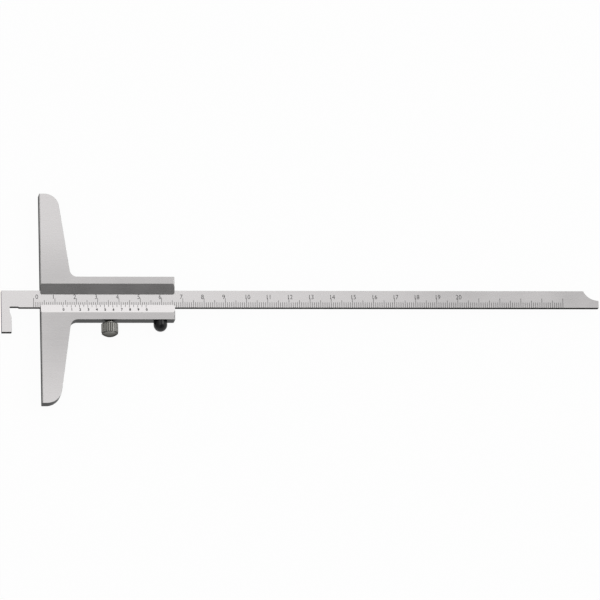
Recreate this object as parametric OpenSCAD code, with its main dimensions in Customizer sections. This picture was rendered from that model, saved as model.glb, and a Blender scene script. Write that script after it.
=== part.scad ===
// Hook-type vernier depth gauge for 0 to 200 mm, lying on its back.
// X runs along the beam towards its tail, Y along the bridge, Z out of the graduated face.
// The origin is on the measuring face, on the beam's centre line, at the back face.

/* [Reading] */
// Depth shown: distance from the hook's inner face to the measuring face
reading = 13.6; // [1:0.1:30]

/* [Bridge] */
// Length of the measuring face
bridge_length = 100; // [80:1:150]
// Width of each wing where it meets the slider
bridge_root = 14.2; // [12:0.1:20]
// Width that the taper reaches level with the end of a wing
bridge_end = 8.4; // [7.5:0.1:11]
// Radius of the rounded outer corners
bridge_corner_r = 7; // [3:0.5:7]
// Radius between a wing and the slider
wing_fillet_r = 3.5; // [1:0.5:6]
// Thickness of bridge and slider
body_thickness = 8; // [7.5:0.5:12]
// Chamfer along the edges of the measuring face
face_chamfer = 0.3; // [0.1:0.1:0.6]

/* [Slider] */
// Width of the slider
slider_width = 20.4; // [19:0.1:28]
// Length of the slider from the measuring face
slider_length = 62.9; // [52:0.1:90]
// Chamfer round the slider's free end
slider_end_chamfer = 0.6; // [0.2:0.1:1.5]
// Thickness of the wall behind the beam
back_wall = 2.2; // [1.5:0.1:3]
// Width of the flat land above the reading window
upper_land = 3.35; // [2:0.05:4]
// Width of the flat land below the vernier
lower_land = 3.3; // [2:0.05:4]
// Overlap of the plain lip on the beam
upper_lip_hold = 1.75; // [0.8:0.05:2]
// Overlap of the vernier lip on the beam
lower_lip_hold = 1.1; // [0.6:0.05:1.5]
// Thickness of both lips at their edge
lip_edge = 0.4; // [0.2:0.05:0.8]
// Chamfer on the lips' ends at the mouths of the slot
mouth_chamfer = 0.5; // [0.2:0.1:1]

/* [Beam] */
// Width of the beam
beam_width = 8; // [7:0.5:9]
// Thickness of the beam
beam_thickness = 3.5; // [3:0.1:4]
// Graduated length
scale_length = 250; // [210:10:300]
// Distance from a gauging face to the zero line of its scale
zero_offset = 10.4; // [8:0.1:14]
// Plain length past the last line
tail_length = 17.1; // [12:0.1:30]
// Width of the narrow measuring tip
tip_width = 3.4; // [2:0.1:5]
// Radius of the hollow that narrows the tip
tip_hollow_r = 8; // [5:0.5:12]

/* [Hook] */
// Length of the hook along the beam
hook_thickness = 4.7; // [4:0.1:7]
// Reach of the hook below the beam
hook_drop = 11.8; // [9:0.1:15]
// Height of the hook's gauging face
hook_face = 6.9; // [4:0.1:8]
// Width of the hook's neck
hook_neck = 3.8; // [3:0.1:5]
// Height of the neck's straight part below the beam
neck_height = 2.2; // [1:0.1:3]
// Depth of the relief ground into the beam beside the hook
relief_depth = 0.35; // [0.1:0.05:0.8]
// Length of that relief
relief_length = 4.1; // [1:0.1:6]

/* [Graduations] */
// Distance between the lines of the main scale
scale_pitch = 1; // [1:1:2]
// Length of the vernier scale
vernier_length = 39; // [19:1:49]
// Number of vernier divisions
vernier_divisions = 20; // [10:10:50]
// Length of a single millimetre line
line_short = 2.5; // [1.5:0.1:3]
// Length of every fifth line
line_middle = 3.45; // [2:0.05:4]
// Length of every tenth line
line_long = 4.45; // [3:0.05:5]
// Length of a numbered vernier line
vernier_line = 1.6; // [1:0.1:2.2]
// Length of the vernier lines between them
vernier_line_short = 1.2; // [0.6:0.1:2]
// Width of an engraved line
line_width = 0.2; // [0.08:0.01:0.3]
// Depth of an engraved line
line_depth = 0.05; // [0.02:0.01:0.1]

/* [Gib and spring] */
// Thickness of the gib strip
gib_thickness = 1.2; // [0.8:0.1:1.5]
// Setback of the gib from both ends of the slider
gib_setback = 1.5; // [0.5:0.1:4]
// Room for the leaf spring behind the gib
spring_room = 0.9; // [0.6:0.05:1.2]
// Thickness of the leaf spring
spring_thickness = 0.25; // [0.15:0.01:0.4]
// Distance from the end of the leaf spring's bow to the knob's stud
bow_setback = 1.8; // [1.5:0.1:6]
// Length of the flat foot at the spring's free end
spring_foot = 3; // [2:0.5:4]

/* [Clamp screw] */
// Offset of the clamp screw from the middle of the slider
clamp_offset = 0.95; // [-3:0.05:3]
// Diameter of the knurled head
head_d = 7.9; // [6:0.1:7.9]
// Length of the knurled band
knurl_length = 4.4; // [3:0.1:6]
// Number of knurl grooves
knurl_count = 24; // [16:1:36]
// Depth of a knurl groove
knurl_depth = 0.3; // [0.1:0.05:0.4]
// Width of the groove between the knurl and the domed end
groove_width = 0.4; // [0.2:0.05:0.6]
// Depth of that groove
groove_depth = 0.6; // [0.5:0.05:0.9]
// Height of the domed end
dome_height = 1.6; // [0.5:0.1:2.5]
// Inset of the dome's rim from the knurl
dome_inset = 0.1; // [0.05:0.05:0.3]
// Diameter of the neck under the head
neck_d = 5; // [4:0.1:5.8]
// Gap between the slider and the head
head_gap = 1.2; // [1.1:0.1:3]
// Bare thread that shows between the slider and the neck
bare_thread = 0.4; // [0.3:0.05:0.6]
// Diameter of the screw's thread
clamp_thread_d = 3; // [2.5:0.1:3.2]
// Length of the brass pad ahead of the screw
pad_length = 2; // [1:0.1:2.5]
// Distance from the pad to the spring when the clamp is loose
pad_gap = 0.12; // [0.11:0.01:0.3]

/* [Thumb knob] */
// Distance of the thumb knob from the slider's free end
knob_setback = 6.7; // [5:0.1:8]
// Diameter of the thumb knob
knob_d = 6.5; // [5:0.1:7]
// Length of the knob's straight part
knob_straight = 1.8; // [0.5:0.1:4]
// Diameter of the knob's threaded stud
stud_d = 3; // [2.5:0.1:3.2]
// Depth of the stud in the knob
stud_depth = 2.6; // [1.5:0.1:3]
// Diameter of the pin at the stud's end
stud_pin_d = 1.8; // [1.2:0.1:2]

/* [Clearances] */
// Running clearance of the beam and the screws
run_clearance = 0.05; // [0.02:0.01:0.1]
// Clearance between pieces that seat on each other
seat_clearance = 0.02; // [0.01:0.01:0.05]
// Clearance round the strips in the slot
strip_clearance = 0.1; // [0.05:0.01:0.2]

/* [Hidden] */
$fn = 96;

// One overrun serves every cut.
overrun = 1;

half_bridge = bridge_length / 2;
half_slider = slider_width / 2;
half_beam = beam_width / 2;

// Heights of the slot, measured from the back face.
slot_floor = back_wall;
slot_roof = back_wall + beam_thickness + 2 * run_clearance;
beam_floor = slot_floor + run_clearance;
beam_face = beam_floor + beam_thickness;
lip_top = slot_roof + lip_edge;
screw_z = body_thickness / 2;
strip_height = slot_roof - slot_floor - 2 * strip_clearance;

// Places across the slot, from the beam down to the wall that holds the screws.
slot_top_y = half_beam + run_clearance;
gib_front_y = -half_beam - run_clearance;
gib_back_y = gib_front_y - gib_thickness;
slot_wall_y = gib_back_y - spring_room;
upper_lip_y = half_beam - upper_lip_hold;
lower_lip_y = lower_lip_hold - half_beam;
upper_land_y = half_slider - upper_land;
lower_land_y = lower_land - half_slider;
bevel_rise = body_thickness - lip_top;
vernier_run = lower_lip_y - lower_land_y;
vernier_slope = atan2(bevel_rise, vernier_run);

// A wing's back edge leans towards the measuring face by this angle.
wing_lean = atan2(bridge_root - bridge_end, half_bridge - half_slider);
wing_slope = tan(wing_lean);

// Circle of the outer corner, tangent to the wing's end and to its leaning back edge.
corner_y = half_bridge - bridge_corner_r;
corner_x = bridge_root - (corner_y - half_slider) * wing_slope - bridge_corner_r / cos(wing_lean);
corner_back = [corner_x + bridge_corner_r * cos(wing_lean), corner_y + bridge_corner_r * sin(wing_lean)];
corner_end = [corner_x, half_bridge];

// Circle of the fillet, tangent to the back edge and to the slider's side.
fillet_y = half_slider + wing_fillet_r;
fillet_x = bridge_root - wing_fillet_r * wing_slope + wing_fillet_r / cos(wing_lean);
fillet_back = [fillet_x - wing_fillet_r * cos(wing_lean), fillet_y - wing_fillet_r * sin(wing_lean)];
fillet_side = [fillet_x, half_slider];

// Places along the beam.
hook_inner_x = -reading;
hook_outer_x = hook_inner_x - hook_thickness;
hook_neck_x = hook_outer_x + hook_neck;
hook_tip_y = -half_beam - hook_drop;
scale_zero_x = hook_inner_x + zero_offset;
tail_x = scale_zero_x + scale_length + tail_length;
tip_edge_y = tip_width - half_beam;
vernier_pitch = vernier_length / vernier_divisions;

// Places of the clamp and the knob along the slider, and the bow that they give the spring.
clamp_at = slider_length / 2 + clamp_offset;
knob_at = slider_length - knob_setback;
spring_bow = 2 * (knob_at - bow_setback - clamp_at);

// Clamp: from the spring's crest outwards.
spring_crest_y = gib_back_y - seat_clearance - spring_thickness;
pad_tip_y = spring_crest_y - pad_gap;
screw_tip_y = pad_tip_y - pad_length - seat_clearance;
neck_y = -half_slider - bare_thread;
head_y = -half_slider - head_gap;
head_r = head_d / 2;
dome_r = (head_r * head_r + dome_height * dome_height) / (2 * dome_height);
knurl_flank = knurl_depth * sqrt(2);

// Knob and stud.
knob_r = knob_d / 2;
knob_base_y = -half_slider - seat_clearance;
stud_shoulder_y = slot_wall_y - strip_clearance;
stud_pin_y = gib_front_y - strip_clearance;
spring_end_x = knob_at + spring_foot;
spring_start_x = clamp_at - spring_bow / 2 - spring_foot;
spring_sag = spring_room - spring_thickness - 2 * seat_clearance;
spring_steps = 24;

// Lays a cylinder's axis along Y, pointing away from the beam, from the given height on.
module along_screw(at_x, from_y) {
    translate([at_x, from_y, screw_z]) rotate([90, 0, 0]) children();
}

// The wedge that a chamfer takes off an edge at the origin, the material lying in +X and -Y.
module chamfer_wedge(size, length) {
    translate([0, 0, -overrun])
        linear_extrude(length + 2 * overrun)
            polygon([[-overrun, -size - overrun], [size + overrun, overrun], [-overrun, overrun]]);
}

// Outline of one wing with its rounded outer corner.
module wing_outline() {
    polygon([
        [0, 0], [fillet_side[0], 0], fillet_side, fillet_back, corner_back, corner_end, [0, half_bridge]
    ]);
    intersection() {
        translate([corner_x, corner_y]) circle(bridge_corner_r);
        polygon([corner_back, [corner_back[0] + overrun, half_bridge + overrun],
                 [corner_end[0], half_bridge + overrun], corner_end]);
    }
}

// The round hollow between a wing and the slider's side.
module wing_hollow() {
    intersection() {
        translate([fillet_x, fillet_y]) circle(wing_fillet_r);
        polygon([fillet_back, fillet_side, [fillet_back[0], fillet_side[1]]]);
    }
}

module body_outline() {
    difference() {
        union() {
            for (side = [0, 1]) mirror([0, side]) wing_outline();
            translate([0, -half_slider]) square([slider_length, slider_width]);
        }
        for (side = [0, 1]) mirror([0, side]) wing_hollow();
    }
}

// Section of the slot and of the window with its two bevels, swept along the beam.
module slot_cut() {
    translate([-overrun, 0, 0])
        rotate([90, 0, 90])
            linear_extrude(slider_length + 2 * overrun)
                polygon([
                    [slot_wall_y, slot_floor], [slot_top_y, slot_floor],
                    [slot_top_y, slot_roof], [upper_lip_y, slot_roof], [upper_lip_y, lip_top],
                    [upper_land_y, body_thickness], [upper_land_y, body_thickness + overrun],
                    [lower_land_y, body_thickness + overrun], [lower_land_y, body_thickness],
                    [lower_lip_y, lip_top], [lower_lip_y, slot_roof], [slot_wall_y, slot_roof]
                ]);
}

// Chamfers on the lips' corners at one mouth of the slot.
module mouth_cut() {
    translate([0, upper_lip_y, slot_roof - overrun])
        mirror([0, 1, 0]) chamfer_wedge(mouth_chamfer, body_thickness - slot_roof + overrun);
    translate([0, lower_lip_y, slot_roof - overrun])
        chamfer_wedge(mouth_chamfer, body_thickness - slot_roof + overrun);
}

// Chamfers on the front and back edges of an end face at the origin.
module end_edges_cut(size, width) {
    translate([0, -width / 2, 0]) rotate([-90, 0, 0]) chamfer_wedge(size, width);
    translate([0, width / 2, body_thickness]) rotate([90, 0, 0]) chamfer_wedge(size, width);
}

module vernier_lines() {
    translate([zero_offset, lower_lip_y, lip_top])
        rotate([-vernier_slope, 0, 0])
            for (i = [0:vernier_divisions]) {
                length = i % 2 == 0 ? vernier_line : vernier_line_short;
                translate([i * vernier_pitch - line_width / 2, -length, -line_depth])
                    cube([line_width, length + overrun, line_depth + overrun]);
            }
}

module bridge_slider() {
    color("silver")
    difference() {
        linear_extrude(body_thickness) body_outline();
        slot_cut();
        mouth_cut();
        translate([slider_length, 0, 0]) mirror([1, 0, 0]) mouth_cut();
        end_edges_cut(face_chamfer, bridge_length);
        translate([slider_length, 0, 0]) mirror([1, 0, 0]) end_edges_cut(slider_end_chamfer, slider_width);
        vernier_lines();
        along_screw(clamp_at, slot_wall_y + overrun)
            cylinder(d = clamp_thread_d + 2 * run_clearance, h = half_slider + slot_wall_y + 2 * overrun);
        along_screw(knob_at, slot_wall_y + overrun)
            cylinder(d = stud_d + 2 * seat_clearance, h = half_slider + slot_wall_y + 2 * overrun);
    }
}

module beam_outline() {
    difference() {
        polygon([
            [hook_outer_x, half_beam], [hook_outer_x, hook_tip_y], [hook_inner_x, hook_tip_y],
            [hook_inner_x, hook_tip_y + hook_face], [hook_neck_x, -half_beam - neck_height],
            [hook_neck_x, relief_depth - half_beam], [hook_neck_x + relief_length, relief_depth - half_beam],
            [hook_neck_x + relief_length + relief_depth, -half_beam],
            [tail_x, -half_beam], [tail_x, half_beam]
        ]);
        translate([tail_x, tip_edge_y + tip_hollow_r]) circle(tip_hollow_r);
    }
}

module scale_lines() {
    for (i = [0:scale_length / scale_pitch]) {
        length = i % 10 == 0 ? line_long : i % 5 == 0 ? line_middle : line_short;
        line_x = scale_zero_x + i * scale_pitch - line_width / 2;
        translate([line_x, -half_beam - overrun, beam_face - line_depth])
            cube([line_width, length + overrun, line_depth + overrun]);
    }
}

module beam() {
    color("lightgray")
    difference() {
        translate([0, 0, beam_floor]) linear_extrude(beam_thickness) beam_outline();
        scale_lines();
    }
}

// Hole for the stud's pin, through both strips.
module pin_hole() {
    along_screw(knob_at, gib_front_y + overrun)
        cylinder(d = stud_pin_d + 2 * strip_clearance, h = gib_thickness + spring_room + 2 * overrun);
}

module gib_strip() {
    color("darkkhaki")
    difference() {
        translate([gib_setback, gib_back_y, slot_floor + strip_clearance])
            cube([slider_length - 2 * gib_setback, gib_thickness, strip_height]);
        pin_hole();
    }
}

// Height of the bowed spring off the slot's wall at a place along it.
function spring_lift(x) =
    abs(x - clamp_at) >= spring_bow / 2 ? 0 : spring_sag * (1 + cos(360 * (x - clamp_at) / spring_bow)) / 2;

module leaf_spring() {
    wall_y = slot_wall_y + seat_clearance;
    bow_x = [for (i = [0:spring_steps]) clamp_at + spring_bow * (i / spring_steps - 1 / 2)];
    places = concat([spring_start_x], bow_x, [spring_end_x]);
    lower = [for (x = places) [x, wall_y + spring_lift(x)]];
    upper = [for (i = [len(places) - 1:-1:0]) lower[i] + [0, spring_thickness]];
    color("slategray")
    difference() {
        translate([0, 0, slot_floor + strip_clearance])
            linear_extrude(strip_height) polygon(concat(lower, upper));
        pin_hole();
    }
}

// Cross-section of the knurled head, with straight V grooves.
module knurl_outline() {
    difference() {
        circle(head_r);
        for (i = [0:knurl_count - 1])
            rotate(i * 360 / knurl_count)
                translate([head_r, 0]) rotate(45) square(knurl_flank, center = true);
    }
}

// Half-section of the domed end, turned about its axis.
module dome_section() {
    intersection() {
        translate([0, dome_height - dome_r]) circle(dome_r);
        square([head_r - dome_inset, dome_height]);
    }
}

module clamp_screw() {
    color("gray") {
        along_screw(clamp_at, screw_tip_y)
            cylinder(d = clamp_thread_d, h = screw_tip_y - neck_y);
        along_screw(clamp_at, neck_y) cylinder(d = neck_d, h = head_gap - bare_thread);
        along_screw(clamp_at, head_y) linear_extrude(knurl_length) knurl_outline();
        along_screw(clamp_at, head_y - knurl_length)
            cylinder(r = head_r - groove_depth, h = groove_width);
        along_screw(clamp_at, head_y - knurl_length - groove_width) rotate_extrude() dome_section();
    }
}

module clamp_pad() {
    color("goldenrod")
        along_screw(clamp_at, pad_tip_y) cylinder(d = clamp_thread_d, h = pad_length);
}

// Half-section of the knob: a straight skirt and a half-round end, with the blind hole for the stud.
module knob_section() {
    difference() {
        union() {
            square([knob_r, knob_straight]);
            intersection() {
                translate([0, knob_straight]) circle(knob_r);
                translate([0, knob_straight]) square([knob_r, knob_r]);
            }
        }
        square([stud_d / 2 + seat_clearance, stud_depth + seat_clearance]);
    }
}

module thumb_knob() {
    color("dimgray")
        along_screw(knob_at, knob_base_y) rotate_extrude() knob_section();
}

module knob_stud() {
    color("darkgray") {
        along_screw(knob_at, stud_shoulder_y)
            cylinder(d = stud_d, h = stud_shoulder_y - knob_base_y + stud_depth);
        along_screw(knob_at, stud_pin_y)
            cylinder(d = stud_pin_d, h = stud_pin_y - stud_shoulder_y);
    }
}

bridge_slider();
beam();
gib_strip();
leaf_spring();
clamp_screw();
clamp_pad();
thumb_knob();
knob_stud();
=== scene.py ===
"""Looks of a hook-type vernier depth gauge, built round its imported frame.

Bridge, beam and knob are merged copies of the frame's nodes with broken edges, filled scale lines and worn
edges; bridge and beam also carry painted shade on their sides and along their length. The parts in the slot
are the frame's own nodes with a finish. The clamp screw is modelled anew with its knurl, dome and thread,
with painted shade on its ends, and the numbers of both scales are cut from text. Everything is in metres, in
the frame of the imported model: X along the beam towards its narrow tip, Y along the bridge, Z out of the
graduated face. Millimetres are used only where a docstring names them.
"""

import logging
import math
from collections.abc import Callable
from dataclasses import dataclass, field
from enum import Enum

import bpy
from mathutils import Matrix, Vector


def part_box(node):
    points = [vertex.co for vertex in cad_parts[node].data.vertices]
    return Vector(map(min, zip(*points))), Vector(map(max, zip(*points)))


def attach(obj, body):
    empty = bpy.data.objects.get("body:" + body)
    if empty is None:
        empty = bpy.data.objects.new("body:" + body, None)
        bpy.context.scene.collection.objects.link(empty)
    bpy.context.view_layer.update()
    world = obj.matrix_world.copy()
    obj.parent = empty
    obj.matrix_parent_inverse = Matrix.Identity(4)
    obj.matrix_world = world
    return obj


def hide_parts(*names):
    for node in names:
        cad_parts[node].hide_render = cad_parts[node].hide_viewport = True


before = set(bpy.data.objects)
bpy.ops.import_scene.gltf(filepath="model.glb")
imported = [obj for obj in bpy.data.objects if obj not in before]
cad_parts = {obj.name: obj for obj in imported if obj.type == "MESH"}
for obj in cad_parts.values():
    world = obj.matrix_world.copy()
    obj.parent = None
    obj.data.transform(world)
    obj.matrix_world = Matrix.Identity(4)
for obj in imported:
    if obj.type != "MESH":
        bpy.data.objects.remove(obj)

MM = 0.001
LOG = logging.getLogger("depth_gauge")
PICTURE_SIDE = 600
WHITE = (1.0, 1.0, 1.0)
BLACK = (0.0, 0.0, 0.0)
# Vertices of a copied mesh that are closer than this become one.
MERGE_DISTANCE = 0.001 * MM
# Faces of a copied mesh that meet flatter than this become one.
FLAT_ANGLE = math.radians(0.5)
# Faces that meet sharper than this make a corner; the steps of a round face are flatter.
CORNER_ANGLE = math.radians(12)
# Material slots of the worn edges and of the filled lines on a copied node.
WORN_SLOT = 1
FILLER_SLOT = 2
# Height of a digit of the built-in face as a share of the text's size, and its width as one of its height.
DIGIT_SHARE = 0.73
DIGIT_ASPECT = 0.75
# Shares of a face's normal along Z between which an edge, which carries painted shade, becomes a top.
EDGE_TO_TOP = (0.15, 0.6)
# Shares along X between which an edge becomes a lapped measuring face, rougher and with painted shade that
# blacks out its mirroring at a flat angle.
EDGE_TO_LAPPED_AND_SHADED = (0.9, 0.98)
# Shares along Y between which a top becomes a slope that faces the bridge's far end.
TOP_TO_SLOPE = (0.15, 0.3)
# Roughness that lapping adds.
LAPPED_DULLING = 0.42


class Body(Enum):
    """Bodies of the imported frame."""

    SLIDER = "slider"
    BEAM = "beam"
    SCREW = "screw"


class NodeBench:
    """Adds and joins the nodes of one tree."""

    def __init__(self, tree: bpy.types.NodeTree) -> None:
        """Takes over a node tree and empties it."""
        self.tree = tree
        tree.nodes.clear()

    def add(self, kind: str, inputs: dict | None = None, **settings: object) -> bpy.types.Node:
        """Adds a node.

        Args:
            kind: Blender's name for the node's class.
            inputs: What its sockets get, as for fill.
            **settings: Properties of the node.

        Returns:
            The new node.
        """
        node = self.tree.nodes.new(kind)
        for name, value in settings.items():
            setattr(node, name, value)
        self.fill(node, inputs or {})
        return node

    def fill(self, node: bpy.types.Node, inputs: dict) -> None:
        """Sets or joins a node's sockets.

        Args:
            node: The node.
            inputs: Socket name or number, with the value to set or the output to join.
        """
        for name, value in inputs.items():
            if isinstance(value, bpy.types.NodeSocket):
                self.tree.links.new(value, node.inputs[name])
            else:
                node.inputs[name].default_value = value

    def math(self, operation: str, *values: object) -> bpy.types.NodeSocket:
        """Adds a Math node with numbers or outputs as its values, and gives the result's socket."""
        return self.add("ShaderNodeMath", dict(enumerate(values)), operation=operation).outputs[0]

    def remap(self, value: bpy.types.NodeSocket, source: tuple, target: tuple) -> bpy.types.NodeSocket:
        """Maps one range of a value smoothly to another.

        Args:
            value: The output to map.
            source: Range that it comes from.
            target: Range that it goes to.

        Returns:
            The result's socket.
        """
        limits = dict(zip(("From Min", "From Max", "To Min", "To Max"), (*source, *target)))
        node = self.add("ShaderNodeMapRange", {"Value": value, **limits}, interpolation_type="SMOOTHSTEP")
        return node.outputs["Result"]

    def blend(self, share: object, first: object, second: object) -> bpy.types.NodeSocket:
        """Mixes two colours by the second one's share, and gives the mixed colour's socket."""
        node = self.add("ShaderNodeMix", {0: share, 6: first, 7: second}, data_type="RGBA")
        return node.outputs[2]


class FinishBench(NodeBench):
    """Bench of a material, with its shader and the place on the piece."""

    def __init__(self, material: bpy.types.Material) -> None:
        """Puts the shader on the bench.

        Args:
            material: The new material.
        """
        material.use_nodes = True
        super().__init__(material.node_tree)
        self.shader = self.add("ShaderNodeBsdfPrincipled")
        self.add("ShaderNodeOutputMaterial", {"Surface": self.shader.outputs[0]})
        self.place = self.add("ShaderNodeTexCoord").outputs["Object"]

    def grain(self, size: tuple[float, float, float], detail: float) -> bpy.types.NodeSocket:
        """Adds noise whose grains have a real size on the piece.

        Args:
            size: Size of a grain along X, Y and Z in millimetres.
            detail: Number of finer layers.

        Returns:
            The noise's socket, from 0 to 1.
        """
        scale = tuple(1 / (side * MM) for side in size)
        mapped = self.add("ShaderNodeMapping", {"Vector": self.place, "Scale": scale}).outputs[0]
        return self.add("ShaderNodeTexNoise", {"Vector": mapped, "Scale": 1.0, "Detail": detail}).outputs[0]

    def relief(self, height: bpy.types.NodeSocket, depth: float, strength: float) -> bpy.types.NodeSocket:
        """Bends the normal by a height, whose full depth is in millimetres."""
        inputs = {"Strength": strength, "Distance": depth * MM, "Height": height}
        return self.add("ShaderNodeBump", inputs).outputs[0]

    def facing(self) -> bpy.types.Node:
        """Splits the face's normal into its shares along X, Y and Z."""
        return self.add("ShaderNodeSeparateXYZ", {0: self.add("ShaderNodeTexCoord").outputs["Normal"]})


def rgba(colour: tuple[float, float, float], level: float = 1.0) -> tuple[float, float, float, float]:
    """Gives a linear colour its alpha, with a factor on red, green and blue."""
    return (*(part * level for part in colour), 1.0)


@dataclass(frozen=True)
class Finish:
    """A material, written once and given to every piece that has it.

    Attributes:
        name: Name of the material.
        colour: Linear base colour.
        roughness: Roughness in the middle of its range.
    """

    name: str
    colour: tuple[float, float, float]
    roughness: float

    def material(self) -> bpy.types.Material:
        """Makes the material, or finds it if it was made before.

        Returns:
            The material.
        """
        known = bpy.data.materials.get(self.name)
        if known is not None:
            return known
        made = bpy.data.materials.new(self.name)
        self.paint(FinishBench(made))
        made.diffuse_color = rgba(self.colour)
        return made

    def paint(self, bench: FinishBench) -> None:
        """Fills in the shader. Each finish has its own."""
        raise NotImplementedError


@dataclass(frozen=True)
class Patina:
    """Painted shade, which changes softly along one direction, in soft patches.

    Attributes:
        axis: Number of the direction, 0 for X and 1 for Y.
        middle: Place along it that distances are taken from, in millimetres.
        span: Two distances from there in millimetres.
        shares: Darkening at the two distances, where 1 is black.
    """

    axis: int = 0
    middle: float = 0.0
    span: tuple[float, float] = (0.0, 1.0)
    shares: tuple[float, float] = (0.0, 0.0)

    def over(self, bench: FinishBench, colour: bpy.types.NodeSocket) -> bpy.types.NodeSocket:
        """Paints shade on a colour.

        Args:
            bench: The material's bench.
            colour: Output with the clean colour.

        Returns:
            The darkened colour's socket.
        """
        along = bench.add("ShaderNodeSeparateXYZ", {0: bench.place}).outputs[self.axis]
        away = bench.math("ABSOLUTE", bench.math("SUBTRACT", along, self.middle * MM))
        share = bench.remap(away, tuple(part * MM for part in self.span), self.shares)
        patches = bench.remap(bench.grain((22.0, 16.0, 16.0), 3.0), (0.3, 0.7), (0.8, 1.2))
        return bench.blend(bench.math("MULTIPLY", share, patches), colour, rgba(BLACK))


@dataclass(frozen=True)
class GroundMetal(Finish):
    """Metal with the fine lines of grinding or drawing, cloudy tone and soft specks.

    Attributes:
        line_size: Size of a fine line along X, Y and Z in millimetres.
        cloud_size: Size of a cloud along X, Y and Z in millimetres.
        speck_size: Size of a speck along X, Y and Z in millimetres.
        tone: Share by which the colour varies from cloud to cloud.
        line_depth: Depth of the fine lines in millimetres.
        edge_colour: Colour of the edges all round: painted shade.
        edge_glance: Level that the edges' mirroring falls to at a flat angle: painted shade.
        patina: Painted shade that changes softly along one direction.
        slope_gain: Factor on the colour of the vernier's slope, which faces the bridge's far end: a painted
            highlight.
    """

    line_size: tuple[float, float, float] = (9.0, 0.11, 0.11)
    cloud_size: tuple[float, float, float] = (14.0, 9.0, 9.0)
    speck_size: tuple[float, float, float] = (0.06, 0.06, 0.06)
    tone: float = 0.03
    line_depth: float = 0.0006
    edge_colour: tuple[float, float, float] = (0.19, 0.19, 0.19)
    edge_glance: float = 0.3
    patina: Patina = Patina()
    slope_gain: float = 1.0

    def clouded(self, bench: FinishBench, clouds: bpy.types.NodeSocket, gain: float) -> bpy.types.NodeSocket:
        """Varies the colour, times a gain, from cloud to cloud."""
        dark, light = (rgba(self.colour, gain * (1 + sign * self.tone)) for sign in (-1, 1))
        return bench.blend(clouds, dark, light)

    def paint(self, bench: FinishBench) -> None:
        """Fills in the shader with lines, clouds and specks, with painted shade on the edges and along the
        piece and a painted highlight on the vernier's slope.

        Args:
            bench: The material's bench.
        """
        lines = bench.grain(self.line_size, 4.0)
        streaks = bench.grain(tuple(8 * side for side in self.line_size), 2.0)
        clouds = bench.grain(self.cloud_size, 2.0)
        specks = bench.grain(self.speck_size, 1.0)
        facing = bench.facing()
        # Mask of the edges, the faces that don't look along Z, which get painted shade below.
        edge = bench.remap(bench.math("ABSOLUTE", facing.outputs[2]), EDGE_TO_TOP, (1.0, 0.0))
        # Faces that look along X are rougher, and as painted shade their mirroring at a flat angle turns
        # black.
        lapped_and_shaded = bench.remap(bench.math("ABSOLUTE", facing.outputs[0]), EDGE_TO_LAPPED_AND_SHADED, (0.0, 1.0))
        slope = bench.remap(facing.outputs[1], TOP_TO_SLOPE, (0.0, 1.0))
        # Painted shade, darker along one direction in soft patches.
        top = self.patina.over(bench, self.clouded(bench, clouds, 1.0))
        # Painted highlight: the slope that faces the bridge's far end gets a lighter colour.
        colour = bench.blend(slope, top, self.clouded(bench, clouds, self.slope_gain))
        # Painted shade on the edges: a darker colour, and a dimmer mirroring at a flat angle.
        colour = bench.blend(edge, colour, rgba(self.edge_colour))
        flat = bench.blend(lapped_and_shaded, rgba(WHITE, self.edge_glance), rgba(BLACK))
        glance = bench.blend(edge, rgba(WHITE), flat)
        marks = bench.remap(streaks, (0.3, 0.7), (0.0, 1.0))
        colour = bench.blend(bench.math("MULTIPLY", marks, self.tone), colour, rgba((0.9, 0.9, 0.88)))
        spread = bench.math("ADD", bench.math("MULTIPLY", lines, 0.6), bench.math("MULTIPLY", clouds, 0.4))
        rough = bench.remap(spread, (0.25, 0.75), (self.roughness - 0.05, self.roughness + 0.05))
        rough = bench.math("ADD", rough, bench.math("MULTIPLY", lapped_and_shaded, LAPPED_DULLING))
        height = bench.math("ADD", lines, bench.math("MULTIPLY", specks, 0.2))
        bump = bench.relief(height, self.line_depth, 0.6)
        sockets = {"Base Color": colour, "Roughness": rough, "Normal": bump, "Specular Tint": glance}
        bench.fill(bench.shader, {"Metallic": 1.0, **sockets})


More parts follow.
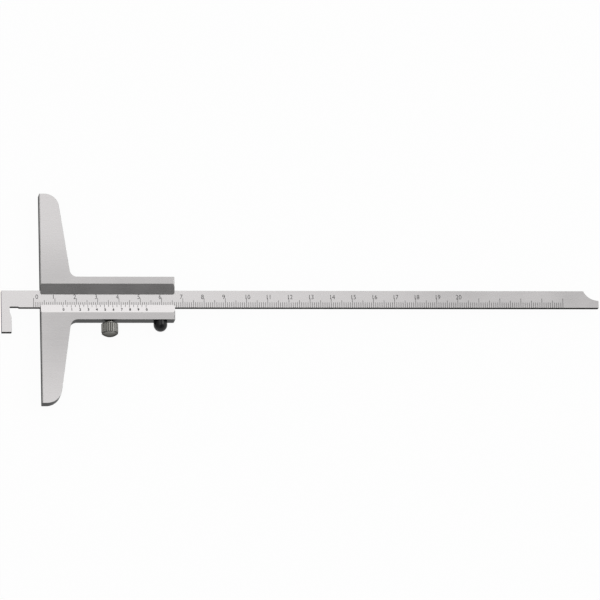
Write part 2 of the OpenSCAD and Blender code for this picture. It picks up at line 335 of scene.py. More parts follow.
@dataclass(frozen=True)
class TurnedMetal(Finish):
    """Metal from the lathe, with rings round the piece's own axis, which runs along Y.

    Attributes:
        axis: Point on the axis.
        ring_pitch: Distance between two rings in millimetres.
        ring_depth: Depth of a ring in millimetres.
        glance: Level that the mirroring falls to at a flat angle.
        end_soiling: Painted shade on the ends that look along Y, where 1 is black.
    """

    axis: tuple[float, float, float] = (0.0, 0.0, 0.0)
    ring_pitch: float = 0.16
    ring_depth: float = 0.004
    glance: float = 1.0
    end_soiling: float = 0.0

    def paint(self, bench: FinishBench) -> None:
        """Fills in the shader with tool rings on the faces, feed lines along the axis and painted shade on
        the ends.

        Args:
            bench: The material's bench.
        """
        centred = bench.add("ShaderNodeVectorMath", {0: bench.place, 1: self.axis}, operation="SUBTRACT")
        part = bench.add("ShaderNodeSeparateXYZ", {0: centred.outputs[0]})
        flat = bench.add("ShaderNodeCombineXYZ", {"X": part.outputs[0], "Z": part.outputs[2]}).outputs[0]
        radius = bench.add("ShaderNodeVectorMath", {0: flat}, operation="LENGTH").outputs["Value"]
        run = bench.math("ADD", radius, part.outputs[1])
        rings = bench.math("SINE", bench.math("MULTIPLY", run, 2 * math.pi / (self.ring_pitch * MM)))
        grime = bench.grain((0.7, 0.7, 0.7), 4.0)
        clouds = bench.grain((2.5, 2.5, 2.5), 2.0)
        colour = bench.blend(clouds, rgba(self.colour, 0.9), rgba(self.colour, 1.08))
        dark = bench.remap(grime, (0.55, 0.8), (0.0, 0.35))
        colour = bench.blend(dark, colour, rgba(self.colour, 0.55))
        # Painted shade on the ends that look along Y.
        ends = bench.math("ABSOLUTE", bench.facing().outputs[1])
        end = bench.remap(ends, (0.5, 0.9), (0.0, self.end_soiling))
        colour = bench.blend(end, colour, rgba(BLACK))
        rough = bench.remap(grime, (0.3, 0.7), (self.roughness - 0.05, self.roughness + 0.07))
        height = bench.math("ADD", bench.math("MULTIPLY", rings, 0.5), grime)
        bump = bench.relief(height, self.ring_depth, 0.5)
        sockets = {"Base Color": colour, "Roughness": rough, "Normal": bump}
        bench.fill(bench.shader, {"Metallic": 1.0, "Specular Tint": rgba(WHITE, self.glance), **sockets})


@dataclass(frozen=True)
class MouldedBlack(Finish):
    """Glossy black moulded plastic, handled dull in places."""

    def paint(self, bench: FinishBench) -> None:
        """Fills in the shader with a faint peel and finger marks.

        Args:
            bench: The material's bench.
        """
        peel = bench.grain((0.5, 0.5, 0.5), 1.0)
        marks = bench.grain((1.6, 1.6, 1.6), 4.0)
        colour = bench.blend(marks, rgba(self.colour, 0.8), rgba(self.colour, 1.6))
        rough = bench.remap(marks, (0.35, 0.7), (self.roughness - 0.06, self.roughness + 0.12))
        sockets = {"Base Color": colour, "Roughness": rough, "Normal": bench.relief(peel, 0.01, 0.3)}
        bench.fill(bench.shader, {"Specular IOR Level": 0.3, **sockets})


@dataclass(frozen=True)
class LineFiller(Finish):
    """Dull black filler in the engraved lines and numbers."""

    def paint(self, bench: FinishBench) -> None:
        """Fills in the shader with a slightly patchy black.

        Args:
            bench: The material's bench.
        """
        patches = bench.grain((0.4, 0.4, 0.4), 3.0)
        colour = bench.blend(patches, rgba(self.colour, 0.6), rgba(self.colour, 1.5))
        rough = bench.remap(patches, (0.3, 0.7), (self.roughness - 0.08, self.roughness + 0.08))
        bench.fill(bench.shader, {"Base Color": colour, "Roughness": rough, "Specular IOR Level": 0.2})


SCREW_AXIS = (32.4 * MM, -10.5 * MM, 4 * MM)
KNOB_AXIS = (56.2 * MM, -10.22 * MM, 4 * MM)
# Painted shade, darker near the slider's root and towards the beam's tip.
SHADE_NEAR_ROOT = Patina(axis=1, middle=-7.0, span=(8.0, 46.0), shares=(0.19, 0.0))
SHADE_TOWARDS_TIP = Patina(axis=0, middle=30.0, span=(25.0, 240.0), shares=(0.0, 0.25))

BODY_CHROME = GroundMetal(
    "ground_chrome_body", (0.667, 0.648, 0.648), 0.28, patina=SHADE_NEAR_ROOT, slope_gain=1.08
)
BEAM_CHROME = GroundMetal(
    "ground_chrome_beam",
    (0.70, 0.68, 0.68),
    0.27,
    edge_colour=(0.14, 0.14, 0.14),
    edge_glance=0.18,
    patina=SHADE_TOWARDS_TIP,
)
WORN_EDGE = GroundMetal("worn_edge", (0.50, 0.495, 0.48), 0.26, tone=0.06)
BRASS = GroundMetal("drawn_brass", (0.72, 0.52, 0.24), 0.32, tone=0.08)
SPRING_STEEL = GroundMetal("blue_grey_spring_steel", (0.38, 0.385, 0.41), 0.28, tone=0.1)
KNURL_STEEL = TurnedMetal(
    "dark_knurled_steel", (0.34, 0.335, 0.315), 0.40, axis=SCREW_AXIS, glance=0.05, end_soiling=0.55
)
STUD_STEEL = TurnedMetal("bright_turned_steel", (0.55, 0.545, 0.54), 0.30, axis=KNOB_AXIS)
BLACK_KNOB = MouldedBlack("glossy_black_plastic", (0.006, 0.006, 0.007), 0.18)
FILLER = LineFiller("line_filler", (0.01, 0.01, 0.011), 0.7)


def make_active(obj: bpy.types.Object) -> None:
    """Leaves one object selected and active, in object mode.

    Args:
        obj: The object.
    """
    if bpy.context.object is not None and bpy.context.object.mode != "OBJECT":
        bpy.ops.object.mode_set(mode="OBJECT")
    bpy.ops.object.select_all(action="DESELECT")
    obj.select_set(True)
    bpy.context.view_layer.objects.active = obj


def apply_modifier(obj: bpy.types.Object, kind: str, **settings: object) -> None:
    """Adds a modifier, sets it and applies it.

    Args:
        obj: The object, which becomes active.
        kind: Blender's name for the modifier's type.
        **settings: Properties of the modifier.
    """
    make_active(obj)
    modifier = obj.modifiers.new(kind.lower(), kind)
    for name, value in settings.items():
        setattr(modifier, name, value)
    bpy.ops.object.modifier_apply(modifier=modifier.name)


def give(obj: bpy.types.Object, *finishes: Finish) -> None:
    """Gives an object its finishes, in the order of its material slots.

    Args:
        obj: The object.
        *finishes: The finishes.
    """
    obj.data.materials.clear()
    for finish in finishes:
        obj.data.materials.append(finish.material())


def settle_normals(obj: bpy.types.Object, sharp_angle: float) -> None:
    """Shades an object smooth, with flat faces kept flat up to their broken edges.

    Args:
        obj: The object.
        sharp_angle: Angle in degrees above which an edge stays sharp.
    """
    make_active(obj)
    bpy.ops.object.shade_smooth_by_angle(angle=math.radians(sharp_angle))
    apply_modifier(obj, "WEIGHTED_NORMAL", keep_sharp=True, mode="FACE_AREA", weight=100)


def drawn_line(points: list[Vector]) -> bpy.types.Object:
    """Draws an open line of edges and leaves it in edit mode.

    Args:
        points: Its points.

    Returns:
        The line's object.
    """
    bpy.ops.object.select_all(action="DESELECT")
    bpy.ops.mesh.primitive_plane_add(size=MM, location=(0, 0, 0))
    bpy.ops.object.mode_set(mode="EDIT")
    bpy.ops.mesh.select_mode(type="VERT")
    bpy.ops.mesh.select_all(action="SELECT")
    bpy.ops.mesh.merge(type="CENTER")
    bpy.ops.transform.translate(value=points[0])
    for last, point in zip(points, points[1:]):
        bpy.ops.mesh.extrude_region_move(TRANSFORM_OT_translate={"value": point - last})
    return bpy.context.object


def merged_copy(node: str, name: str) -> bpy.types.Object:
    """Copies a node of the frame as one closed mesh of flat faces.

    Args:
        node: Name of the node.
        name: Name of the copy.

    Returns:
        The copy.
    """
    obj = bpy.data.objects.new(name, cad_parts[node].data.copy())
    bpy.context.scene.collection.objects.link(obj)
    make_active(obj)
    bpy.ops.object.mode_set(mode="EDIT")
    bpy.ops.mesh.select_mode(type="EDGE")
    bpy.ops.mesh.select_all(action="SELECT")
    bpy.ops.mesh.remove_doubles(threshold=MERGE_DISTANCE)
    bpy.ops.mesh.customdata_custom_splitnormals_clear()
    bpy.ops.mesh.dissolve_limited(angle_limit=FLAT_ANGLE)
    bpy.ops.object.mode_set(mode="OBJECT")
    return obj


def break_edges(obj: bpy.types.Object, width: float, spare: Callable[[Vector], bool]) -> None:
    """Rounds the corners of a copied node, as a stone or a tumbler leaves them.

    Args:
        obj: The copy, with the worn edge's finish in its own slot.
        width: Width of the broken edge.
        spare: Tells whether the edge with this midpoint stays crisp.
    """
    make_active(obj)
    bpy.ops.object.mode_set(mode="EDIT")
    bpy.ops.mesh.select_mode(type="EDGE")
    bpy.ops.mesh.select_all(action="DESELECT")
    bpy.ops.mesh.edges_select_sharp(sharpness=CORNER_ANGLE)
    bpy.ops.object.mode_set(mode="OBJECT")
    points = [vertex.co.copy() for vertex in obj.data.vertices]
    middles = [(points[edge.vertices[0]] + points[edge.vertices[1]]) / 2 for edge in obj.data.edges]
    weights = [float(edge.select and not spare(middle)) for edge, middle in zip(obj.data.edges, middles)]
    marks = obj.data.attributes.new("bevel_weight_edge", "FLOAT", "EDGE")
    marks.data.foreach_set("value", weights)
    settings = {"limit_method": "WEIGHT", "width": width, "segments": 2, "profile": 0.5}
    apply_modifier(obj, "BEVEL", use_clamp_overlap=True, material=WORN_SLOT, **settings)
    spent = obj.data.attributes.get("bevel_weight_edge")
    if spent is not None:
        obj.data.attributes.remove(spent)
    LOG.info("%s: %d edges broken", obj.name, int(sum(weights)))


def paint_faces(obj: bpy.types.Object, slot: int, chosen: Callable[[list[Vector]], bool]) -> None:
    """Gives faces another of the object's material slots.

    Args:
        obj: The object.
        slot: Number of the slot.
        chosen: Tells whether the face with these corners is meant.
    """
    points = [vertex.co.copy() for vertex in obj.data.vertices]
    found = [face for face in obj.data.polygons if chosen([points[number] for number in face.vertices])]
    for face in found:
        face.material_index = slot
    LOG.info("%s: %d faces painted", obj.name, len(found))


def dress(obj: bpy.types.Object, body: Body, slot: str | None, *nodes: str) -> None:
    """Sets a finished piece on its body.

    Args:
        obj: The piece, in place.
        body: Body that it rides on.
        slot: The record's material slot, or None for a filler or the like; not used.
        *nodes: Nodes of the frame that it stands for.
    """
    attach(obj, body.value)
    if nodes:
        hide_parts(*nodes)
    LOG.info("%s: %d faces on %s", obj.name, len(obj.data.polygons), body.value)


@dataclass
class Scale:
    """One row of engraved lines, as far as its fillers and numbers need it.

    Attributes:
        zero: Place of the zero line where the lines start.
        slope: Angle by which its face leans about X, in radians.
        pitch: Distance between numbered lines.
        labels: The numbers, in order.
        line_run: Length of the longest line.
        digit_height: Height of a digit.
        digit_width: Width of a digit.
        digit_rise: Distance from the lines' start to the foot of the digits.
        shifts: Distance by which each label's middle stands beyond its line.
        proud: Height of the digits over the face.
        sunk: Depth of the digits in the face.
        stroke_thinning: Distance by which a digit's outline shrinks.
        pitches_past: Number of pitches that the lines may go on past the last number.
        groove_reach: Depth that no groove reaches.
        groove_floor: Depth that every groove's floor lies under.
        slack: Height up to which a point still counts as in the face.
    """

    zero: Vector
    slope: float
    pitch: float
    labels: list[str]
    line_run: float
    digit_height: float
    digit_width: float
    digit_rise: float
    shifts: list[float]
    proud: float = 0.012 * MM
    sunk: float = 0.03 * MM
    stroke_thinning: float = 0.0
    pitches_past: int = 5
    groove_reach: float = 0.06 * MM
    groove_floor: float = 0.02 * MM
    slack: float = 0.002 * MM

    def on_lines(self, point: Vector, deeper: float, shallower: float) -> bool:
        """Tells whether a point lies in the engraving.

        Args:
            point: The point.
            deeper: Greatest depth under the face.
            shallower: Least depth under the face.

        Returns:
            True if it lies within the row and between the two depths.
        """
        away = Matrix.Rotation(-self.slope, 3, "X") @ (point - self.zero)
        length = self.pitch * (len(self.labels) + self.pitches_past)
        in_row = -self.pitch < away.x < length and abs(away.y) < self.line_run
        return in_row and -deeper < away.z < -shallower

    def is_groove(self, corners: list[Vector]) -> bool:
        """Tells whether a face belongs to a line's groove.

        Args:
            corners: The face's corners.

        Returns:
            True if all its corners lie in the engraving and at least one under the face.
        """
        within = all(self.on_lines(corner, self.groove_reach, -self.slack) for corner in corners)
        deep = any(self.on_lines(corner, self.groove_reach, self.groove_floor) for corner in corners)
        return within and deep

    def number(self, index: int, label: str) -> bpy.types.Object:
        """Cuts one number from text.

        Args:
            index: Number of the labelled line.
            label: The digits.

        Returns:
            The number as a mesh, in place.
        """
        bpy.ops.object.select_all(action="DESELECT")
        bpy.ops.object.text_add(location=(0, 0, 0))
        text = bpy.context.object
        text.data.body = label
        text.data.align_x = "CENTER"
        text.data.size = self.digit_height / DIGIT_SHARE
        text.data.offset = -self.stroke_thinning
        text.data.resolution_u = 4
        text.data.extrude = (self.proud + self.sunk) / 2
        bpy.ops.object.convert(target="MESH")
        obj = bpy.context.object
        narrow = self.digit_width / (self.digit_height * DIGIT_ASPECT)
        lift = (self.proud - self.sunk) / 2
        local = Vector((index * self.pitch + self.shifts[index], self.digit_rise, lift))
        turn = Matrix.Rotation(self.slope, 4, "X")
        obj.scale = (narrow, 1, 1)
        obj.rotation_euler = (self.slope, 0, 0)
        obj.location = self.zero + turn.to_3x3() @ local
        bpy.ops.object.transform_apply(location=True, rotation=True, scale=True)
        return obj

    def numbers(self, name: str) -> bpy.types.Object:
        """Cuts all the numbers as one piece.

        Args:
            name: Name of the piece.

        Returns:
            The piece.
        """
        cut = [self.number(index, label) for index, label in enumerate(self.labels)]
        make_active(cut[0])
        for obj in cut[1:]:
            obj.select_set(True)
        bpy.ops.object.join()
        piece = bpy.context.object
        piece.name = piece.data.name = name
        give(piece, FILLER)
        return piece


@dataclass
class GraduatedPiece:
    """A large steel piece with filled lines, numbers and broken edges.

    Attributes:
        node: Node of the frame that it stands for.
        body: Body that it rides on.
        slot: The record's material slot.
        chrome: Finish of its faces.
        numbers_name: Name of its numbers.
        broken_edge: Width of its broken edges.
        sharp_angle: Angle in degrees above which an edge stays sharp.
    """

    node: str
    body: Body
    slot: str
    chrome: Finish
    numbers_name: str
    broken_edge: float
    sharp_angle: float = 35

    def __post_init__(self) -> None:
        """Works out the scale's place."""
        self.scale = self.graduation()

    def graduation(self) -> Scale:
        """Describes the row of lines. Each piece has its own."""
        raise NotImplementedError

    def is_graduated(self, point: Vector) -> bool:
        """Tells whether an edge with this midpoint belongs to the row of lines and stays crisp."""
        return self.scale.on_lines(point, 0.1 * MM, -0.01 * MM)

    def build(self) -> None:
        """Makes the piece and its numbers."""
        piece = merged_copy(self.node, f"{self.node}_dressed")
        give(piece, self.chrome, WORN_EDGE, FILLER)
        break_edges(piece, self.broken_edge, self.is_graduated)
        paint_faces(piece, FILLER_SLOT, self.scale.is_groove)
        settle_normals(piece, self.sharp_angle)
        dress(piece, self.body, self.slot, self.node)
        dress(self.scale.numbers(self.numbers_name), self.body, None)


@dataclass
class BeamSet(GraduatedPiece):
    """The graduated beam with its hook.

    Attributes:
        hook_thickness: Thickness of the hook along X.
        zero_offset: Distance of the zero line from the hook's gauging face.
        line_long: Length of the centimetre lines.
        zero_shift: Distance from the zero line to the middle of its number.
        single_shift: The same for the numbers of one digit.
        double_shift: The same for the numbers of two digits.
    """

    node: str = "beam"
    body: Body = Body.BEAM
    slot: str = "satin_chrome_beam"
    chrome: Finish = BEAM_CHROME
    numbers_name: str = "beam_numbers"
    broken_edge: float = 0.08 * MM
    hook_thickness: float = 4.7 * MM
    zero_offset: float = 10.4 * MM
    line_long: float = 4.45 * MM
    zero_shift: float = 1.5 * MM
    single_shift: float = -0.75 * MM
    double_shift: float = 0.45 * MM

    def graduation(self) -> Scale:
        """Describes the main scale, placed by the frame's own beam.

        Returns:
            The scale.
        """
        low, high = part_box("beam")
        return Scale(
            zero=Vector((low.x + self.hook_thickness + self.zero_offset, -high.y, high.z)),
            slope=0.0,
            pitch=10 * MM,
            labels=[str(n) for n in range(21)],
            line_run=self.line_long + 0.1 * MM,
            digit_height=2.25 * MM,
            digit_width=1.55 * MM,
            digit_rise=4.0 * MM,
            shifts=[self.zero_shift, *[self.single_shift] * 9, *[self.double_shift] * 11],
            stroke_thinning=0.02 * MM,
        )


@dataclass
class SliderSet(GraduatedPiece):
    """Bridge and slider in one piece, with the vernier.

    Attributes:
        zero_offset: Distance of the vernier's zero line from the measuring face.
        lip_y: Place along Y of the lip that the vernier's lines start from.
        lip_z: Height of that lip.
        land_y: Place along Y where the vernier's slope meets the top.
        face_z: Height of the top.
        number_pitch: Distance between two numbered lines.
    """

    node: str = "bridge_slider"
    body: Body = Body.SLIDER
    slot: str = "satin_chrome_body"
    chrome: Finish = BODY_CHROME
    numbers_name: str = "vernier_numbers"
    broken_edge: float = 0.1 * MM
    zero_offset: float = 10.4 * MM
    lip_y: float = -2.9 * MM
    lip_z: float = 6.2 * MM
    land_y: float = -6.9 * MM
    face_z: float = 8.0 * MM
    number_pitch: float = 3.9 * MM

    def graduation(self) -> Scale:
        """Describes the vernier, placed on the bevel that carries it.

        Returns:
            The scale.
        """
        return Scale(
            zero=Vector((self.zero_offset, self.lip_y, self.lip_z)),
            slope=-math.atan2(self.face_z - self.lip_z, self.lip_y - self.land_y),
            pitch=self.number_pitch,
            labels=[str(n % 10) for n in range(11)],
            line_run=1.8 * MM,
            digit_height=1.42 * MM,
            digit_width=0.95 * MM,
            digit_rise=-3.37 * MM,
            shifts=[0.2 * MM] * 11,
            stroke_thinning=-0.07 * MM,
        )

    def is_graduated(self, point: Vector) -> bool:
        """Tells the same of the vernier's lines and of the thin lip that they start from."""
        on_lip = abs(point.y - self.lip_y) < 0.06 * MM and abs(point.z - self.lip_z) < 0.1 * MM
        return on_lip or super().is_graduated(point)


@dataclass
class ClampScrew:
    """The knurled clamp screw, turned about Y, with its thread.

    Attributes:
        axis: Point on the screw's axis.
        thread_r: Radius of the thread's crests.
        root_r: Radius of its roots.
        pitch: Distance between two crests.
        neck_r: Radius of the plain neck.
        neck_length: Length of the neck.
        head_r: Radius of the head.
        knurl_length: Length of the knurled band.
        groove_width: Width of the groove between the band and the dome.
        groove_r: Radius of that groove's floor.
        dome_height: Height of the dome.
        dome_inset: Distance by which the dome's rim stands inside the head's radius.
        chamfer: Width of the head's chamfer.
        knurl_count: Number of knurl grooves.
        knurl_depth: Depth of a knurl groove.
        columns_per_groove: Number of columns of faces to a knurl groove.
        dome_steps: Number of steps in the dome's curve.
        thread_steps: Number of steps in a turn of the thread.
    """

    axis: Vector = field(default_factory=lambda: Vector(SCREW_AXIS))
    thread_r: float = 1.5 * MM
    root_r: float = 1.2 * MM
    pitch: float = 0.5 * MM
    neck_r: float = 2.5 * MM
    neck_length: float = 0.8 * MM
    head_r: float = 3.95 * MM
    knurl_length: float = 4.4 * MM
    groove_width: float = 0.4 * MM
    groove_r: float = 3.35 * MM
    dome_height: float = 1.6 * MM
    dome_inset: float = 0.1 * MM
    chamfer: float = 0.3 * MM
    knurl_count: int = 24
    knurl_depth: float = 0.3 * MM
    columns_per_groove: int = 4
    dome_steps: int = 10
    thread_steps: int = 32

    def __post_init__(self) -> None:
        """Works out the places along the screw from the frame's own screw."""
        low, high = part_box("clamp_screw")
        self.tip_y = high.y
        self.dome_y = low.y
        self.groove_end_y = low.y + self.dome_height
        self.knurl_end_y = self.groove_end_y + self.groove_width
        self.head_y = self.knurl_end_y + self.knurl_length
        self.neck_y = self.head_y + self.neck_length

    def profile(self) -> list[tuple[float, float]]:
        """Lists the half-section of neck and head.

        Returns:
            Radius and place along Y of each point, from the axis under the neck to the dome's top.
        """
        rim = self.head_r - self.dome_inset
        dome_r = (self.head_r**2 + self.dome_height**2) / (2 * self.dome_height)
        start = math.asin(rim / dome_r)
        dome = [
            (dome_r * math.sin(turn), self.dome_y + dome_r * (1 - math.cos(turn)))
            for turn in (start * (1 - step / self.dome_steps) for step in range(self.dome_steps + 1))
        ]
        return [
            (0.0, self.neck_y),
            (self.neck_r - 0.5 * self.chamfer, self.neck_y),
            (self.neck_r, self.neck_y - 0.5 * self.chamfer),
            (self.neck_r, self.head_y),
            (self.head_r - self.chamfer, self.head_y),
            (self.head_r, self.head_y - self.chamfer),
            (self.head_r, self.knurl_end_y + 0.5 * self.chamfer),
            (self.head_r - 0.5 * self.chamfer, self.knurl_end_y),
            (self.groove_r, self.knurl_end_y),
            (self.groove_r, self.groove_end_y),
            (rim - 0.3 * self.dome_inset, self.groove_end_y),
            *dome,
        ]

    def turned(self, name: str, points: list[tuple[float, float]], steps: int) -> bpy.types.Object:
        """Spins a half-section about the screw's axis.

        Args:
            name: Name of the piece.
            points: Radius and place along Y of each point, ending on the axis.
            steps: Number of steps round.

        Returns:
            The closed piece.
        """
        obj = drawn_line([Vector((self.axis.x + radius, along, self.axis.z)) for radius, along in points])
        bpy.ops.mesh.select_all(action="SELECT")
        centre = (self.axis.x, 0, self.axis.z)
        bpy.ops.mesh.spin(steps=steps, angle=2 * math.pi, center=centre, axis=(0, 1, 0), use_auto_merge=True)
        bpy.ops.mesh.select_all(action="SELECT")
        bpy.ops.mesh.remove_doubles(threshold=0.005 * MM)
        bpy.ops.mesh.normals_make_consistent(inside=False)
        bpy.ops.object.mode_set(mode="OBJECT")
        obj.name = obj.data.name = name
        return obj

    def cut_knurl(self, head: bpy.types.Object) -> None:
        """Sinks one column of points for each groove of the knurled band, which leaves straight V grooves.

        Args:
            head: The turned head.
        """
        step = 2 * math.pi / self.knurl_count
        slack = 0.01 * MM
        for vertex in head.data.vertices:
            away = vertex.co - self.axis
            reach = math.hypot(away.x, away.z)
            turn = math.atan2(away.z, away.x) / step
            on_column = abs(turn - round(turn)) < 0.5 / self.columns_per_groove
            in_band = self.knurl_end_y - slack < vertex.co.y < self.head_y + slack
            if on_column and in_band and reach > self.head_r - 1.1 * self.chamfer:
                sunk = (self.head_r - self.knurl_depth - 0.1 * (self.head_r - reach)) / reach
                vertex.co.x = self.axis.x + away.x * min(1.0, sunk)
                vertex.co.z = self.axis.z + away.z * min(1.0, sunk)
        head.data.update()

    def thread(self) -> bpy.types.Object:
        """Winds the thread from the tip up into the neck.

        Returns:
            The thread, closed but for a few edges at its end by the neck.
        """
        turns = math.floor((self.tip_y - self.neck_y) / self.pitch)
        merge_distance = 0.002 * MM
        radii = (self.root_r, self.thread_r, self.thread_r, self.root_r, self.root_r)
        heights = (0.0, 0.42, 0.5, 0.92, 1.0)
        obj = drawn_line([Vector((radius, 0, part * self.pitch)) for radius, part in zip(radii, heights)])
        bpy.ops.object.mode_set(mode="OBJECT")
        winding = {"axis": "Z", "angle": 2 * math.pi, "screw_offset": self.pitch, "iterations": turns}
        fineness = {"steps": self.thread_steps, "render_steps": self.thread_steps, "use_smooth_shade": False}
        merging = {"use_merge_vertices": True, "merge_threshold": merge_distance}
        apply_modifier(obj, "SCREW", **winding, **fineness, **merging)
        bpy.ops.object.mode_set(mode="EDIT")
        bpy.ops.mesh.select_mode(type="EDGE")
        bpy.ops.mesh.select_all(action="SELECT")
        bpy.ops.mesh.remove_doubles(threshold=merge_distance)
        bpy.ops.mesh.select_all(action="DESELECT")
        bpy.ops.mesh.select_non_manifold()
        bpy.ops.mesh.fill()
        bpy.ops.mesh.select_all(action="SELECT")
        bpy.ops.mesh.normals_make_consistent(inside=False)
        bpy.ops.object.mode_set(mode="OBJECT")
        obj.rotation_euler = (math.pi / 2, 0, 0)
        obj.location = (self.axis.x, self.tip_y, self.axis.z)
        bpy.ops.object.transform_apply(location=True, rotation=True, scale=True)
        obj.name = obj.data.name = "clamp_screw_thread"
        return obj

    def build(self) -> None:
        """Makes the head with its knurl, and the thread."""
        head = self.turned("clamp_screw_head", self.profile(), self.knurl_count * self.columns_per_groove)
        self.cut_knurl(head)
        for piece, sharp_angle, nodes in ((head, 24, ["clamp_screw"]), (self.thread(), 30, [])):
            give(piece, KNURL_STEEL)
            make_active(piece)
            bpy.ops.object.shade_smooth_by_angle(angle=math.radians(sharp_angle))
            dress(piece, Body.SCREW, "knurled_steel", *nodes)


@dataclass
class SmallParts:
    """Knob, stud, gib, spring and pad, which keep the frame's shapes.

    Attributes:
        knob_edge: Width of the knob's broken edge.
        sharp_angle: Angle in degrees above which an edge of the knob stays sharp.
    """

    knob_edge: float = 0.12 * MM
    sharp_angle: float = 40

    def build(self) -> None:
        """Dresses the knob and gives the inner nodes their finishes."""
        knob = merged_copy("thumb_knob", "thumb_knob_dressed")
        give(knob, BLACK_KNOB, BLACK_KNOB)
        break_edges(knob, self.knob_edge, lambda point: False)
        settle_normals(knob, self.sharp_angle)
        dress(knob, Body.SLIDER, "black_knob", "thumb_knob")
        for node, finish in {
            "gib_strip": BRASS,
            "leaf_spring": SPRING_STEEL,
            "clamp_pad": BRASS,
            "knob_stud": STUD_STEEL,
        }.items():
            give(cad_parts[node], finish)
            LOG.info("%s: finished as %s", node, finish.name)


@dataclass(frozen=True)
class SkyPatch:
    """One round, soft-edged patch of the studio's pale surroundings.

    Attributes:
        direction: Direction of its middle from the object.
        inner: Angle in degrees up to which it is full.
        outer: Angle in degrees where it ends.
        level: Its brightness, where 1 is white.
    """

    direction: tuple[float, float, float]
    inner: float
    outer: float
    level: float


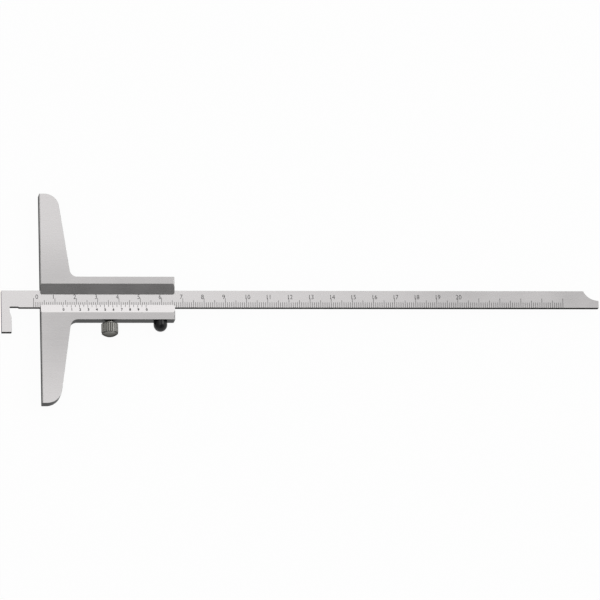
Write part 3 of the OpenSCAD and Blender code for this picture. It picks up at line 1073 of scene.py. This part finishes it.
@dataclass
class Studio:
    """Pale floor, soft surroundings and a lamp.

    Attributes:
        floor_side: Length of the square floor.
        floor_gap: Distance of the floor under the gauge.
        floor_colour: Colour of the floor, as it lights the gauge.
        whiteness: Share of plain white that the camera and mirroring faces see in the floor.
        horizon: Brightness of the surroundings low down, where 1 is white.
        overhead: Their brightness above.
        across: Factors on the light from above, on the hook's side and on the tip's side.
        patches: Patches of other brightness.
        lamp_place: Where the soft lamp hangs.
        lamp_aim: Where it points.
        lamp_side: Length of its square face.
        lamp_power: Its power in watts.
    """

    floor_side: float = 24.0
    floor_gap: float = 0.02 * MM
    floor_colour: tuple[float, float, float] = (0.92, 0.92, 0.92)
    whiteness: float = 0.96
    horizon: float = 0.95
    overhead: float = 0.5
    across: tuple[float, float] = (1.7, 0.25)
    patches: tuple[SkyPatch, ...] = (
        SkyPatch((0.05, 0.26, 1.0), 16, 30, 0.95),
        SkyPatch((0.11, 0.891, 0.454), 14, 30, 1.2),
        SkyPatch((0.114, -0.66, 1.0), 20, 31, 0.205),
        SkyPatch((-1.0, 0.1, 0.1), 25, 60, 0.45),
        SkyPatch((1.0, 0.15, 0.2), 15, 40, 1.1),
    )
    lamp_place: tuple[float, float, float] = (1.00, 0.30, 1.20)
    lamp_aim: tuple[float, float, float] = (0.10, 0.0, 0.0)
    lamp_side: float = 0.5
    lamp_power: float = 2.6

    def surroundings(self) -> None:
        """Sets the world's light: pale at the horizon, with patches that the polished faces mirror."""
        world = bpy.data.worlds.new("studio")
        bpy.context.scene.world = world
        world.use_nodes = True
        bench = NodeBench(world.node_tree)
        aim = bench.add("ShaderNodeTexCoord").outputs["Generated"]
        part = bench.add("ShaderNodeSeparateXYZ", {0: aim})
        level = bench.remap(part.outputs[2], (0.15, 0.5), (self.horizon, self.overhead))
        for patch in self.patches:
            middle = tuple(Vector(patch.direction).normalized())
            near = bench.add("ShaderNodeVectorMath", {0: aim, 1: middle}, operation="DOT_PRODUCT")
            edge = (math.cos(math.radians(patch.outer)), math.cos(math.radians(patch.inner)))
            share = bench.remap(near.outputs["Value"], edge, (0.0, 1.0))
            mixed = bench.add("ShaderNodeMix", {0: share, 2: level, 3: patch.level}, data_type="FLOAT")
            level = mixed.outputs[0]
        fall = bench.remap(part.outputs[0], (-0.35, 0.6), self.across)
        high = bench.remap(part.outputs[2], (0.7, 0.9), (0.0, 1.0))
        fall = bench.add("ShaderNodeMix", {0: high, 2: 1.0, 3: fall}, data_type="FLOAT").outputs[0]
        level = bench.math("MULTIPLY", level, fall)
        glow = bench.add("ShaderNodeBackground", {"Color": rgba(WHITE), "Strength": level}).outputs[0]
        bench.add("ShaderNodeOutputWorld", {"Surface": glow})

    def floor(self) -> None:
        """Lays the pale floor just under the gauge."""
        bpy.ops.object.select_all(action="DESELECT")
        bpy.ops.mesh.primitive_plane_add(size=self.floor_side, location=(0, 0, -self.floor_gap))
        floor = bpy.context.object
        floor.name = "floor"
        paint = bpy.data.materials.new("pale_floor")
        paint.use_nodes = True
        bench = NodeBench(paint.node_tree)
        matt = bench.add("ShaderNodeBsdfDiffuse", {"Color": rgba(self.floor_colour)}).outputs[0]
        white = bench.add("ShaderNodeEmission", {"Color": rgba(WHITE), "Strength": 1.0}).outputs[0]
        ray = bench.add("ShaderNodeLightPath").outputs
        seen = bench.math("MAXIMUM", ray["Is Camera Ray"], ray["Is Glossy Ray"])
        seen = bench.math("MAXIMUM", seen, ray["Is Transmission Ray"])
        share = bench.math("MULTIPLY", seen, self.whiteness)
        mixed = bench.add("ShaderNodeMixShader", {0: share, 1: matt, 2: white}).outputs[0]
        bench.add("ShaderNodeOutputMaterial", {"Surface": mixed})
        floor.data.materials.append(paint)

    def lamp(self) -> None:
        """Hangs the lamp on the tip's side."""
        bpy.ops.object.select_all(action="DESELECT")
        bpy.ops.object.light_add(type="AREA", location=self.lamp_place)
        lamp = bpy.context.object
        lamp.name = "lamp_right"
        lamp.data.shape = "SQUARE"
        lamp.data.size = self.lamp_side
        lamp.data.energy = self.lamp_power
        away = Vector(self.lamp_place) - Vector(self.lamp_aim)
        lamp.rotation_euler = away.to_track_quat("Z", "Y").to_euler()

    def build(self) -> None:
        """Sets the surroundings, the floor, the lamp and the colour view."""
        self.surroundings()
        self.floor()
        self.lamp()
        bpy.context.scene.view_settings.view_transform = "Standard"
        LOG.info("studio: %d patches in the sky", len(self.patches))


@dataclass
class PhotoCamera:
    """Camera at the photograph's angle: almost straight above, a little from the hook's and screw's side.

    Attributes:
        target: Point in the middle of the picture.
        lean_x: Angle by which the view leans along X, in degrees.
        lean_y: Angle by which the view leans along Y, in degrees.
        roll: Turn about the view's direction, in degrees.
        distance: Distance to the target.
        scale: Pixels of the picture to a millimetre at the target.
        sensor: Width of the film in millimetres.
    """

    target: Vector = field(default_factory=lambda: Vector((122.256, 0.0, 4.0)) * MM)
    lean_x: float = 7.0
    lean_y: float = 12.5
    roll: float = -1.45
    distance: float = 3.0
    scale: float = 2.1305
    sensor: float = 36.0

    def build(self) -> None:
        """Adds the camera and makes it the scene's own."""
        sideways, forward = (math.tan(math.radians(lean)) for lean in (self.lean_x, self.lean_y))
        aim = Vector((sideways, forward, -1)).normalized()
        level = aim.cross(Vector((0, 1, 0))).normalized()
        upright = level.cross(aim)
        turn = math.radians(self.roll)
        right = math.cos(turn) * level + math.sin(turn) * upright
        above = -math.sin(turn) * level + math.cos(turn) * upright
        bpy.ops.object.select_all(action="DESELECT")
        bpy.ops.object.camera_add(location=self.target - self.distance * aim)
        camera = bpy.context.object
        camera.rotation_euler = Matrix((right, above, -aim)).transposed().to_euler()
        camera.data.sensor_width = self.sensor
        camera.data.lens = self.scale * (self.distance / MM) / PICTURE_SIDE * self.sensor
        camera.data.clip_start, camera.data.clip_end = 0.1, 100
        bpy.context.scene.camera = camera
        LOG.info("camera: %.0f mm lens", camera.data.lens)


def main() -> None:
    """Builds the gauge and its studio."""
    logging.basicConfig(level=logging.INFO, format="%(message)s")
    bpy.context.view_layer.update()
    PhotoCamera().build()
    Studio().build()
    for part in (SliderSet(), BeamSet(), ClampScrew(), SmallParts()):
        part.build()
    bpy.ops.object.select_all(action="DESELECT")


if __name__ == "__main__":
    main()
